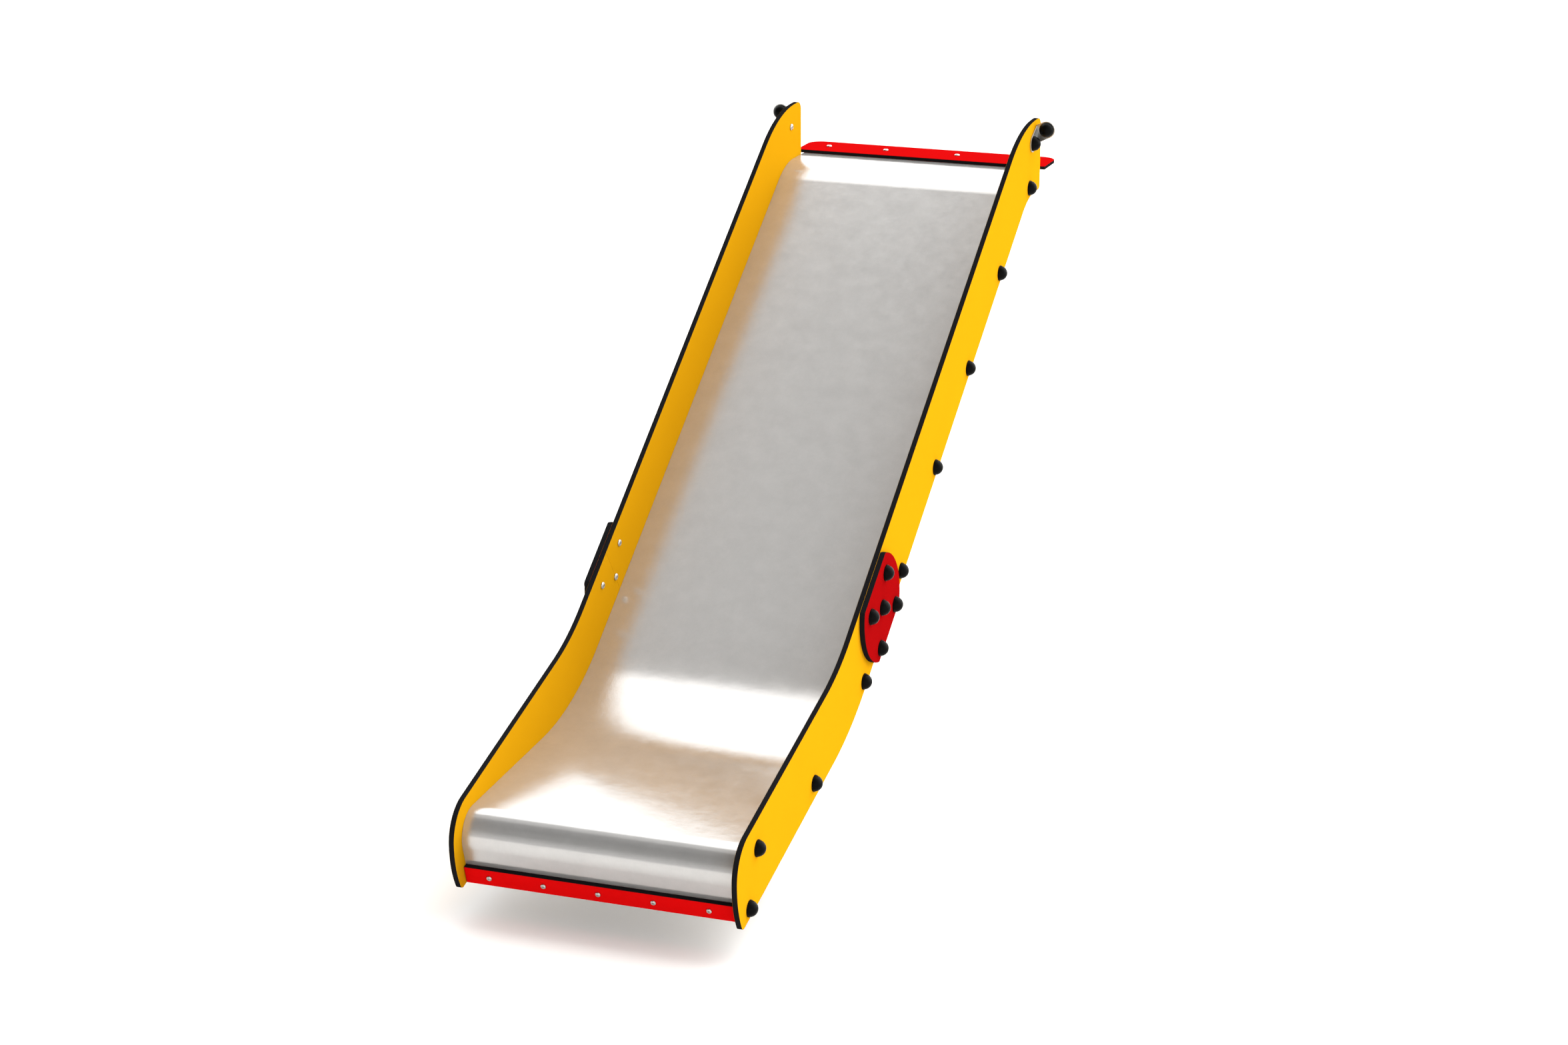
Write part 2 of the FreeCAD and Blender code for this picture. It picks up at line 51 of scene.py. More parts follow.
slope_angle = math.radians(35.0)
runout_angle = math.radians(3.0)
tuck_angle = math.radians(18.0)
top_radius = 0.180
knee_radius = 0.580
nose_radius = 0.058
runout_length = 0.521
tuck_length = 0.079
bed_half_width = 0.2995
flange_start = 0.140
slope_start = 0.248
flange_depth = 0.038
sheet_thickness = 0.002
fold_radius = 0.0022
fold_segments = 5
bend_steps = 28
nose_steps = 40
smooth_angle = math.radians(35.0)
near = 0.0001
same = 0.000001
bed_merge = 0.00005
bed_colour = (0.510, 0.504, 0.494, 1.0)
bed_metallic = 0.60
brush_scale = 1800.0
speckle_scale = 700.0
mark_scale = 26.0
wave_scale = 9.0
speckle_share = 0.10
mark_dulling = 0.6
brush_dulling = 0.8
least_roughness = 0.05
brush_height = 0.2
steel_bump = 0.35


def select_nothing():
    """Leave edit mode and deselect every object."""
    active = bpy.context.view_layer.objects.active
    if active and active.mode != "OBJECT":
        bpy.ops.object.mode_set(mode="OBJECT")
    bpy.ops.object.select_all(action="DESELECT")


def take_up(piece):
    """Make one object the only one selected."""
    select_nothing()
    piece.select_set(True)
    bpy.context.view_layer.objects.active = piece


def select_edges(piece, wanted):
    """In edit mode, select the edges whose two ends pass a test."""
    bpy.ops.mesh.select_mode(type="EDGE")
    bpy.ops.mesh.select_all(action="DESELECT")
    bpy.ops.object.mode_set(mode="OBJECT")
    points = piece.data.vertices
    for edge in piece.data.edges:
        edge.select = wanted(points[edge.vertices[0]].co, points[edge.vertices[1]].co)
    bpy.ops.object.mode_set(mode="EDIT")


def put_down(piece, name):
    """Finish a piece: its place goes into its mesh, and it gets its name and shading."""
    take_up(piece)
    bpy.ops.object.transform_apply(location=True, rotation=True, scale=True)
    bpy.ops.object.shade_smooth_by_angle(angle=smooth_angle)
    flatten = piece.modifiers.new("flat faces stay flat", "WEIGHTED_NORMAL")
    flatten.keep_sharp = True
    flatten.weight = 100
    bpy.ops.object.modifier_apply(modifier=flatten.name)
    piece.name = name
    piece.data.name = name
    select_nothing()
    return piece


def fit_piece(piece, node, material):
    """The piece stands for a node: it gets a finish and hangs from the root body, and the node is
    hidden.
    """
    piece.data.materials.clear()
    piece.data.materials.append(material)
    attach(piece, "root")
    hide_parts(node)


def new_group(name, inputs, outputs):
    """Empty shader group with named sockets."""
    group = bpy.data.node_groups.new(name, "ShaderNodeTree")
    for label, kind, value in inputs:
        socket = group.interface.new_socket(name=label, in_out="INPUT", socket_type=kind)
        if value is not None:
            socket.default_value = value
    for label, kind in outputs:
        group.interface.new_socket(name=label, in_out="OUTPUT", socket_type=kind)
    return group


def add_node(tree, kind, settings=None, **values):
    """Node with settings and input values; a value that is a socket is linked."""
    node = tree.nodes.new(kind)
    for key, value in (settings or {}).items():
        setattr(node, key, value)
    for key, value in values.items():
        socket = node.inputs[int(key[1:])] if key[0] == "i" and key[1:].isdigit() else (
            node.inputs[key.replace("_", " ")]
        )
        if isinstance(value, bpy.types.NodeSocket):
            tree.links.new(value, socket)
        else:
            socket.default_value = value
    return node


def maths(tree, operation, first, second=0.0, third=None):
    """One Math node, given as its output."""
    values = {"i0": first, "i1": second}
    if third is not None:
        values["i2"] = third
    return add_node(tree, "ShaderNodeMath", {"operation": operation}, **values).outputs[0]


def noise(tree, vector, scale, detail=2.0, roughness=0.5):
    """One Noise Texture node, given as its value."""
    node = add_node(
        tree, "ShaderNodeTexNoise", Vector=vector, Scale=scale, Detail=detail, Roughness=roughness
    )
    return node.outputs[0]


def swing_from(tree, value, amount):
    """How far a noise value is from its middle, times an amount."""
    return maths(tree, "MULTIPLY", maths(tree, "SUBTRACT", value, 0.5), amount)


def shaded(tree, colour, shade):
    """A colour made lighter or darker by a factor."""
    return add_node(
        tree, "ShaderNodeVectorMath", {"operation": "SCALE"}, i0=colour, Scale=shade
    ).outputs[0]


def tint(tree, factor, first, second):
    """Mix of two colours, by a factor from 0 to 1."""
    node = tree.nodes.new("ShaderNodeMix")
    node.data_type = "RGBA"
    for index, value in ((0, factor), (6, first), (7, second)):
        if isinstance(value, bpy.types.NodeSocket):
            tree.links.new(value, node.inputs[index])
        else:
            node.inputs[index].default_value = value
    return node.outputs[2]


def new_finish(name):
    """Material, with its nodes, its shader and its Object coordinates."""
    material = bpy.data.materials.new(name)
    material.use_nodes = True
    tree = material.node_tree
    shader = tree.nodes["Principled BSDF"]
    place = tree.nodes.new("ShaderNodeTexCoord")
    return material, tree, shader, place.outputs["Object"]


def bumped(tree, shader, height, strength, distance):
    """Give a shader its fine relief."""
    node = add_node(
        tree, "ShaderNodeBump", Height=height, Strength=strength, Distance=distance
    )
    tree.links.new(node.outputs[0], shader.inputs["Normal"])


# Rolled steel: fine brushing along one way, broad waves, and rubbed marks.
steel_grain = new_group(
    "steel_grain",
    [
        ("Vector", "NodeSocketVector", None),
        ("Colour", "NodeSocketColor", (0.6, 0.6, 0.6, 1.0)),
        ("Roughness", "NodeSocketFloat", 0.25),
        ("Brushing", "NodeSocketFloat", 0.05),
        ("Marks", "NodeSocketFloat", 0.1),
        ("Stretch", "NodeSocketVector", (1.0, 0.02, 0.02)),
    ],
    [
        ("Colour", "NodeSocketColor"),
        ("Roughness", "NodeSocketFloat"),
        ("Height", "NodeSocketFloat"),
    ],
)


def wire_steel_grain(group):
    """Connect the nodes of the steel's grain."""
    source = add_node(group, "NodeGroupInput").outputs
    result = add_node(group, "NodeGroupOutput")
    along = add_node(
        group, "ShaderNodeVectorMath", {"operation": "MULTIPLY"}, i0=source[0], i1=source[5]
    ).outputs[0]
    brush = noise(group, along, brush_scale, 3.0, 0.6)
    speckle = noise(group, source[0], speckle_scale, 2.0)
    waves = noise(group, source[0], wave_scale, 4.0, 0.6)
    marks = noise(group, source[0], mark_scale, 6.0, 0.72)
    worn = swing_from(group, marks, source[4])
    grain = swing_from(group, brush, source[3])
    fine = swing_from(group, speckle, speckle_share)
    shade = maths(group, "ADD", maths(group, "ADD", grain, worn), maths(group, "ADD", fine, 1.0))
    group.links.new(shaded(group, source[1], shade), result.inputs[0])
    rough = maths(group, "ADD", source[2], maths(group, "MULTIPLY", worn, mark_dulling))
    rough = maths(group, "ADD", rough, maths(group, "MULTIPLY", grain, brush_dulling))
    group.links.new(maths(group, "MAXIMUM", rough, least_roughness), result.inputs[1])
    height = maths(group, "ADD", maths(group, "MULTIPLY", brush, brush_height), waves)
    group.links.new(height, result.inputs[2])


wire_steel_grain(steel_grain)


def steel_finish(name, colour, roughness, brushing, marks, stretch, wave, metallic=1.0):
    """Bare metal, brushed across its stretch, with waves of a given depth."""
    material, tree, shader, place = new_finish(name)
    grain = add_node(
        tree,
        "ShaderNodeGroup",
        {"node_tree": steel_grain},
        Vector=place,
        Colour=colour,
        Roughness=roughness,
        Brushing=brushing,
        Marks=marks,
        Stretch=stretch,
    )
    shader.inputs["Metallic"].default_value = metallic
    tree.links.new(grain.outputs[0], shader.inputs["Base Color"])
    tree.links.new(grain.outputs[1], shader.inputs["Roughness"])
    bumped(tree, shader, grain.outputs[2], steel_bump, wave)
    return material


bed_finish = steel_finish(
    "bed_steel", bed_colour, 0.13, 0.06, 0.22, (1.0, 0.015, 0.015), 0.0012, bed_metallic
)

bed_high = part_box("slide_bed")[1]
bed_rear = bed_high.y
drop_start = bed_rear - slope_start
knee_height = exit_height + runout_length * math.tan(runout_angle)
knee_y = drop_start - (deck_height - knee_height) / math.tan(slope_angle)
top_reach = top_radius * math.tan(slope_angle / 2)
knee_reach = knee_radius * math.tan((slope_angle - runout_angle) / 2)
bend_y = drop_start + top_reach
slope_run = (deck_height - knee_height) / math.sin(slope_angle) - top_reach - knee_reach
slope_step = Vector((0.0, -math.cos(slope_angle), -math.sin(slope_angle))) * slope_run
runout_run = runout_length / math.cos(runout_angle) - knee_reach
runout_step = Vector((0.0, -math.cos(runout_angle), -math.sin(runout_angle))) * runout_run
knee_start = Vector((0.0, knee_y, knee_height)) + Vector(
    (0.0, math.cos(slope_angle), math.sin(slope_angle))
) * knee_reach
knee_centre = knee_start + Vector(
    (0.0, -math.sin(slope_angle), math.cos(slope_angle))
) * knee_radius
nose_start = Vector((0.0, knee_y - runout_length, exit_height))
nose_centre = nose_start + Vector(
    (0.0, math.sin(runout_angle), -math.cos(runout_angle))
) * nose_radius
tuck_step = Vector((0.0, math.sin(tuck_angle), -math.cos(tuck_angle))) * tuck_length


def run_on(step):
    """Extrude what is selected by one straight step."""
    bpy.ops.mesh.extrude_region_move(TRANSFORM_OT_translate={"value": tuple(step)})


def roll_round(centre, angle, steps):
    """Spin what is selected about an axis across the chute, downhill positive."""
    bpy.ops.mesh.spin(steps=steps, angle=-angle, center=tuple(centre), axis=(1.0, 0.0, 0.0))


def spot(point):
    """A point rounded to a hundredth of a millimetre, to look it up by."""
    return tuple(round(value, 5) for value in point)


select_nothing()
middle = bed_rear - flange_start / 2
bpy.ops.mesh.primitive_plane_add(size=1.0, location=(0.0, middle, deck_height))
slide_bed = bpy.context.object
slide_bed.scale = (2 * bed_half_width, flange_start, 1.0)
bpy.ops.object.transform_apply(location=True, rotation=True, scale=True)
bpy.ops.object.mode_set(mode="EDIT")
select_edges(slide_bed, lambda a, b: max(a.y, b.y) < middle)
run_on((0.0, bend_y - (bed_rear - flange_start), 0.0))
roll_round((0.0, bend_y, deck_height - top_radius), slope_angle, bend_steps)
run_on(slope_step)
roll_round(knee_centre, runout_angle - slope_angle, bend_steps)
run_on(runout_step)
roll_round(nose_centre, math.pi / 2 + tuck_angle - runout_angle, nose_steps)
run_on(tuck_step)
bpy.ops.mesh.select_all(action="SELECT")
bpy.ops.mesh.remove_doubles(threshold=bed_merge)
bpy.ops.object.mode_set(mode="OBJECT")
rear_face = max(slide_bed.data.polygons, key=lambda face: face.center.y)
if rear_face.normal.z < 0:
    bpy.ops.object.mode_set(mode="EDIT")
    bpy.ops.mesh.select_all(action="SELECT")
    bpy.ops.mesh.flip_normals()
    bpy.ops.object.mode_set(mode="OBJECT")
down_at = {spot(v.co): -v.normal.copy() for v in slide_bed.data.vertices}
flange_rear = bed_rear - flange_start
bpy.ops.object.mode_set(mode="EDIT")
select_edges(
    slide_bed,
    lambda a, b: abs(a.x - b.x) < same
    and max(a.y, b.y) < flange_rear + near
    and min(a.y, b.y) > nose_start.y - near
    and min(a.z, b.z) > exit_height - near,
)
run_on((0.0, 0.0, 0.0))
bpy.ops.object.mode_set(mode="OBJECT")
for vertex in slide_bed.data.vertices:
    if vertex.select:
        vertex.co += down_at[spot(vertex.co)] * flange_depth
fold_spots = {
    key
    for key in down_at
    if nose_start.y - near < key[1] < flange_rear + near and key[2] > exit_height - near
}
thicken = slide_bed.modifiers.new("sheet", "SOLIDIFY")
thicken.thickness = sheet_thickness
thicken.offset = -1.0
thicken.solidify_mode = "NON_MANIFOLD"
thicken.nonmanifold_thickness_mode = "CONSTRAINTS"
take_up(slide_bed)
bpy.ops.object.modifier_apply(modifier="sheet")
bpy.ops.object.mode_set(mode="EDIT")
select_edges(
    slide_bed,
    lambda a, b: abs(a.x - b.x) < same and spot(a) in fold_spots and spot(b) in fold_spots,
)
bpy.ops.mesh.bevel(offset=fold_radius, segments=fold_segments, affect="EDGES")
fit_piece(put_down(slide_bed, "bed_sheet"), "slide_bed", bed_finish)

# ---------------------------------------------------------------------------
# The two sides and the round joint plates: 12 mm sheet laminate, coloured
# through thin face layers on a black core. They are cut flat, their edges are
# routed round, and the routing takes the colour off and shows the core.
# ---------------------------------------------------------------------------
laminate_middle = 0.306
plate_middle = 0.318
laminate_half = 0.006
face_layer = 0.0003
routed_radius = 0.0012
yellow = (0.52, 0.250, 0.0036, 1.0)
red = (0.25, 0.0022, 0.0028, 1.0)
core_black = (0.010, 0.010, 0.011, 1.0)
hole_rim = 0.020
routed_segments = 4
routed_sharpness = math.radians(50.0)
copy_merge = 0.00001
flat_angle = math.radians(0.4)
peel_scale = 900.0
drift_scale = 6.0
drift_share = 0.05
core_roughness = 0.60
peel_dulling = 0.6
face_polish = 0.18
laminate_bump = 0.30
peel_depth = 0.0004

laminate_layers = new_group(
    "laminate_layers",
    [
        ("Vector", "NodeSocketVector", None),
        ("Middle", "NodeSocketFloat", laminate_middle),
        ("Half", "NodeSocketFloat", laminate_half),
        ("Face", "NodeSocketColor", yellow),
        ("Core", "NodeSocketColor", core_black),
        ("Grain", "NodeSocketFloat", 0.10),
    ],
    [
        ("Colour", "NodeSocketColor"),
        ("Roughness", "NodeSocketFloat"),
        ("Height", "NodeSocketFloat"),
    ],
)


def wire_laminate(group):
    """Connect the nodes that colour the two faces and leave the core black."""
    source = add_node(group, "NodeGroupInput").outputs
    result = add_node(group, "NodeGroupOutput")
    across = add_node(group, "ShaderNodeSeparateXYZ", Vector=source[0]).outputs[0]
    outward = maths(group, "ABSOLUTE", across)
    depth = maths(group, "ABSOLUTE", maths(group, "SUBTRACT", outward, source[1]))
    inside = maths(group, "LESS_THAN", depth, maths(group, "SUBTRACT", source[2], face_layer))
    peel = noise(group, source[0], peel_scale, 2.0, 0.55)
    broad = noise(group, source[0], drift_scale, 3.0)
    grain = swing_from(group, peel, source[5])
    drift = swing_from(group, broad, drift_share)
    shade = maths(group, "ADD", maths(group, "ADD", grain, drift), 1.0)
    face = shaded(group, source[3], shade)
    group.links.new(tint(group, inside, face, source[4]), result.inputs[0])
    rough = maths(group, "ADD", core_roughness, maths(group, "MULTIPLY", grain, peel_dulling))
    rough = maths(group, "SUBTRACT", rough, maths(group, "MULTIPLY", inside, face_polish))
    group.links.new(rough, result.inputs[1])
    group.links.new(peel, result.inputs[2])


wire_laminate(laminate_layers)


def laminate_finish(name, colour, middle, rotation=(0.0, 0.0, 0.0), half=laminate_half):
    """Laminate whose thickness, once turned, runs along X about a middle."""
    material, tree, shader, place = new_finish(name)
    turned = add_node(tree, "ShaderNodeMapping", Vector=place, Rotation=rotation).outputs[0]
    layers = add_node(
        tree,
        "ShaderNodeGroup",
        {"node_tree": laminate_layers},
        Vector=turned,
        Middle=middle,
        Face=colour,
        Half=half,
    )
    tree.links.new(layers.outputs[0], shader.inputs["Base Color"])
    tree.links.new(layers.outputs[1], shader.inputs["Roughness"])
    bumped(tree, shader, layers.outputs[2], laminate_bump, peel_depth)
    shader.inputs["Specular IOR Level"].default_value = 0.0
    return material


def cut_copy(node):
    """The node's shape as a clean solid of its own, ready for edge work, in edit mode."""
    select_nothing()
    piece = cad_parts[node].copy()
    piece.data = piece.data.copy()
    piece.parent = None
    for key in list(piece.keys()):
        del piece[key]
    bpy.context.scene.collection.objects.link(piece)
    take_up(piece)
    bpy.ops.mesh.customdata_custom_splitnormals_clear()
    bpy.ops.object.mode_set(mode="EDIT")
    bpy.ops.mesh.select_all(action="SELECT")
    bpy.ops.mesh.remove_doubles(threshold=copy_merge)
    bpy.ops.mesh.dissolve_limited(angle_limit=flat_angle)
    return piece


def route_edges(piece, radius, segments, left_square=lambda a, b: False):
    """Round every sharp edge, except the rims of small holes and those left square."""
    bpy.ops.mesh.select_mode(type="EDGE")
    bpy.ops.mesh.select_all(action="DESELECT")
    bpy.ops.mesh.edges_select_sharp(sharpness=routed_sharpness)
    bpy.ops.object.mode_set(mode="OBJECT")
    points = piece.data.vertices
    sharp = [edge for edge in piece.data.edges if edge.select]
    loop_of = {}
    for edge in sharp:
        for index in edge.vertices:
            loop_of.setdefault(index, index)

    def root(index):
        while loop_of[index] != index:
            index = loop_of[index]
        return index

    for edge in sharp:
        loop_of[root(edge.vertices[0])] = root(edge.vertices[1])
    corners_of = {}
    for index in loop_of:
        corners_of.setdefault(root(index), []).append(points[index].co)
    small = set()
    for key, corners in corners_of.items():
        spans = [max(axis) - min(axis) for axis in zip(*corners)]
        if max(spans) < hole_rim:
            small.add(key)
    for edge in sharp:
        ends = [points[index].co for index in edge.vertices]
        edge.select = root(edge.vertices[0]) not in small and not left_square(*ends)
    bpy.ops.object.mode_set(mode="EDIT")
    bpy.ops.mesh.bevel(offset=radius, segments=segments, affect="EDGES", clamp_overlap=True)


yellow_laminate = laminate_finish("yellow_laminate", yellow, laminate_middle)
red_laminate_plate = laminate_finish("red_laminate_plate", red, plate_middle)

splice_length = 0.332
splice_normal = Vector((0.0, math.cos(slope_angle), math.sin(slope_angle)))
splice_point = Vector((0.0, knee_y, knee_height)) + splice_normal * splice_length


def on_splice(a, b):
    """Whether an edge lies in the plane where the two lengths meet."""
    return all(abs((end - splice_point).dot(splice_normal)) < 2 * near for end in (a, b))


for side in ("left", "right"):
    for part in ("side_upper", "side_lower"):
        node = side + "_" + part
        panel = cut_copy(node)
        route_edges(panel, routed_radius, routed_segments, on_splice)
        put_down(panel, node + "_sheet")
        fit_piece(panel, node, yellow_laminate)
    node = side + "_joint_plate"
    plate = cut_copy(node)
    route_edges(plate, routed_radius, routed_segments)
    put_down(plate, node + "_sheet")
    fit_piece(plate, node, red_laminate_plate)

# ---------------------------------------------------------------------------
# The two red strips of the same laminate: a flat one screwed down over the
# bed's rear edge on the platform, and a narrow one across the tucked end.
# Their reds differ only through painted light and shade: the platform strip's
# red is painted darker and the exit strip's painted lighter than the laminate.
# ---------------------------------------------------------------------------
# Painted light and shade: the exit strip's red is made lighter to offset its shade under the nose,
# and the platform strip's red darker to offset the strong light on it.
exit_red_painted_light = (0.64, 0.0030, 0.0035, 1.0)
top_red_painted_shade = (0.44, 0.0028, 0.0032, 1.0)
strip_thickness = 0.012
strip_height = 0.040
strip_edge = 0.0010
top_low, top_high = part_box("top_strip")
tuck_normal = Vector((0.0, -math.cos(tuck_angle), -math.sin(tuck_angle)))
tuck_down = Vector((0.0, math.sin(tuck_angle), -math.cos(tuck_angle)))
tuck_face = nose_centre.dot(tuck_normal) + nose_radius

top_laminate = laminate_finish(
    "red_laminate_top",
    top_red_painted_shade,
    (top_low.z + top_high.z) / 2,
    rotation=(0.0, math.pi / 2, 0.0),
    half=(top_high.z - top_low.z) / 2,
)
bottom_laminate = laminate_finish(
    "red_laminate_bottom",
    exit_red_painted_light,
    tuck_face + strip_thickness / 2,
    rotation=(-tuck_angle, 0.0, math.pi / 2),
)

for node, name, finish in (
    ("top_strip", "platform_strip", top_laminate),
    ("bottom_strip", "exit_strip", bottom_laminate),
):
    strip = cut_copy(node)
    route_edges(strip, strip_edge, routed_segments)
    fit_piece(put_down(strip, name), node, finish)

# ---------------------------------------------------------------------------
# Cover caps over every nut and bolt head outside: a black plastic ring under
# the nut, and a dome that snaps on to it. Moulded, with a fine satin skin.
# ---------------------------------------------------------------------------
cap_radius = 0.018
cap_bore = 0.010
cap_ring = 0.003
cap_height = 0.018
cap_lip = 0.001
cap_wall = 0.002
cap_rounding = 0.0006
cap_steps = 40
lathe_merge = 0.000002
cap_black = (0.0014, 0.0014, 0.0014, 1.0)
cap_grey = (0.0032, 0.0032, 0.0032, 1.0)
cap_gloss = 0.035
cap_roughness = 0.24
cap_smear = 0.22
skin_scale = 1400.0
smear_scale = 45.0
skin_bump = 0.15
skin_depth = 0.0002


def lathe(profile, steps):
    """Turn a profile of (radius, height) points round the upright axis."""
    select_nothing()
    bpy.ops.mesh.primitive_plane_add(size=0.001, location=(profile[0][0], 0.0, profile[0][1]))
    piece = bpy.context.object
    bpy.ops.object.mode_set(mode="EDIT")
    bpy.ops.mesh.select_mode(type="VERT")
    bpy.ops.mesh.select_all(action="SELECT")
    bpy.ops.mesh.merge(type="CENTER")
    for before, after in zip(profile, profile[1:]):
        run_on((after[0] - before[0], 0.0, after[1] - before[1]))
    bpy.ops.mesh.select_all(action="SELECT")
    bpy.ops.mesh.spin(steps=steps, angle=2 * math.pi, center=(0, 0, 0), axis=(0, 0, 1))
    bpy.ops.mesh.select_all(action="SELECT")
    bpy.ops.mesh.remove_doubles(threshold=lathe_merge)
    bpy.ops.mesh.normals_make_consistent(inside=False)
    bpy.ops.object.mode_set(mode="OBJECT")
    bpy.ops.object.transform_apply(location=True, rotation=True, scale=True)
    return piece


def arc_points(radius, centre_height, start, end, count):
    """Points on a round profile, with angles counted from the horizontal."""
    points = []
    for i in range(count + 1):
        angle = start + (end - start) * i / count
        points.append((radius * math.cos(angle), centre_height + radius * math.sin(angle)))
    return points


def solid_boxes(node):
    """Lowest and highest corner of each separate solid in a node."""
    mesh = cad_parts[node].data
    leader = {}

    def lead(key):
        while leader[key] != key:
            key = leader[key]
        return key

    keys = [spot(vertex.co) for vertex in mesh.vertices]
    for key in keys:
        leader.setdefault(key, key)
    for face in mesh.polygons:
        first = lead(keys[face.vertices[0]])
        for index in face.vertices[1:]:
            leader[lead(keys[index])] = first
    corners = {}
    for key in leader:
        corners.setdefault(lead(key), []).append(key)
    boxes = []
    for points in corners.values():
        low = Vector([min(axis) for axis in zip(*points)])
        high = Vector([max(axis) for axis in zip(*points)])
        boxes.append((low, high))
    return sorted(boxes, key=lambda pair: tuple(pair[0]))


def set_copies(models_and_places, name):
    """Copies of upright models set at places along axes, joined in one piece."""
    copies = []
    for model, place, axis in models_and_places:
        copy = model.copy()
        copy.data = model.data.copy()
        bpy.context.scene.collection.objects.link(copy)
        turn = Vector((0.0, 0.0, 1.0)).rotation_difference(Vector(axis)).to_matrix().to_4x4()
        copy.data.transform(Matrix.Translation(place) @ turn)
        copies.append(copy)
    select_nothing()
    for copy in copies:
        copy.select_set(True)
    bpy.context.view_layer.objects.active = copies[0]
    if len(copies) > 1:
        bpy.ops.object.join()
    return put_down(bpy.context.view_layer.objects.active, name)


def discard(*models):
    """Remove the models that were only there to be copied."""
    for model in models:
        bpy.data.objects.remove(model)


plastic, tree, shader, place = new_finish("cap_plastic")
skin = noise(tree, place, skin_scale, 2.0, 0.5)
smear = noise(tree, place, smear_scale, 4.0, 0.6)
dulled = maths(tree, "ADD", cap_roughness, maths(tree, "MULTIPLY", smear, cap_smear))
tree.links.new(dulled, shader.inputs["Roughness"])
shader.inputs["Specular IOR Level"].default_value = cap_gloss
tree.links.new(tint(tree, smear, cap_black, cap_grey), shader.inputs["Base Color"])
bumped(tree, shader, skin, skin_bump, skin_depth)

foot = cap_radius - cap_lip
rise = cap_height - cap_ring
dome_radius = (foot**2 + rise**2) / (2 * rise)
dome_centre = cap_height - dome_radius
dome_start = math.asin((cap_ring - dome_centre) / dome_radius)
inner_radius = dome_radius - cap_wall
inner_start = math.asin((cap_ring - dome_centre) / inner_radius)
dome_model = lathe(
    arc_points(dome_radius, dome_centre, math.pi / 2, dome_start, 12)
    + arc_points(inner_radius, dome_centre, inner_start, math.pi / 2, 6),
    cap_steps,
)
ring_model = lathe(
    [
        (cap_bore, 0.0),
        (cap_radius, 0.0),
        (cap_radius, cap_ring - cap_rounding),
        (cap_radius - 0.3 * cap_rounding, cap_ring - 0.3 * cap_rounding),
        (cap_radius - cap_rounding, cap_ring),
        (foot - cap_rounding / 3, cap_ring),
        (foot - cap_rounding, cap_ring - cap_rounding),
        (foot - 3 * cap_rounding, cap_ring - cap_rounding),
        (foot - 3 * cap_rounding, cap_ring),
        (cap_bore, cap_ring),
        (cap_bore, 0.0),
    ],
    cap_steps,
)


def outward_seat(low, high):
    """Where a flat ring lies and which way it faces: along X, or towards the slide's foot."""
    middle = (low + high) / 2
    if high.x - low.x < high.y - low.y:
        side = math.copysign(1.0, middle.x)
        inner = low.x if side > 0 else high.x
        return Vector((inner, middle.y, middle.z)), (side, 0.0, 0.0)
    return Vector((middle.x, high.y, middle.z)), (0.0, -1.0, 0.0)


for side in ("left", "right"):
    seats = [outward_seat(*pair) for pair in solid_boxes(side + "_cap_bases")]
    for model, part in ((ring_model, "_cap_bases"), (dome_model, "_cap_domes")):
        caps = set_copies([(model, seat, axis) for seat, axis in seats], side + part + "_moulded")
        fit_piece(caps, side + part, plastic)
discard(ring_model, dome_model)

# ---------------------------------------------------------------------------
# Bolts and screws with low round heads and a six-lobed socket with a pin, so
# that nobody takes them out with a common tool. Turned from stainless bar.
# ---------------------------------------------------------------------------
bolt_head_radius = 0.008
bolt_head_height = 0.0044
bolt_radius = 0.004
screw_head_radius = 0.0065
nose_screw_head_radius = 0.006
screw_head_height = 0.0035
screw_radius = 0.003
head_steps = 36
crown_steps = 5
socket_share = 0.36
pin_share = 0.13
shoulder_share = 0.12
socket_floor = 0.45
socket_mouth = 0.04
pin_shoulder = 0.85
pin_top = 0.88
crown_reach = 1.25
rim_share = 0.96
shank_chamfer = 0.15
lobe = 0.13
lobes = 6
bar_hold = 0.010
fastener_colour = (0.50, 0.49, 0.47, 1.0)
fastener_steel = steel_finish(
    "fastener_steel", fastener_colour, 0.30, 0.05, 0.08, (1.0, 1.0, 1.0), 0.00005
)


def round_head(head, height, shank, length):
    """Round-headed bolt, upright, with the underside of its head at the origin."""
    socket = socket_share * head
    pin = pin_share * head
    shoulder = shoulder_share * head
    crown = [(head, shoulder)]
    for i in range(1, crown_steps + 1):
        angle = math.pi / 2 * i / crown_steps
        across = socket * crown_reach + (head - socket * crown_reach) * math.cos(angle)
        crown.append((across, shoulder + (height - shoulder) * math.sin(angle)))
    profile = [
        (0.0, -length),
        (shank - shank_chamfer * shank, -length),
        (shank, -length + shank_chamfer * shank),
        (shank, 0.0),
        (rim_share * head, 0.0),
    ]
    profile += crown
    profile += [
        (socket, height - socket_mouth * height),
        (socket, socket_floor * height),
        (pin, socket_floor * height),
        (pin, pin_shoulder * height),
        (0.0, pin_top * height),
    ]
    piece = lathe(profile, head_steps)
    for vertex in piece.data.vertices:
        across = math.hypot(vertex.co.x, vertex.co.y)
        if 2 * pin < across < 1.05 * socket:
            swell = 1.0 + lobe * math.cos(lobes * math.atan2(vertex.co.y, vertex.co.x))
            vertex.co.x *= swell
            vertex.co.y *= swell
    return piece


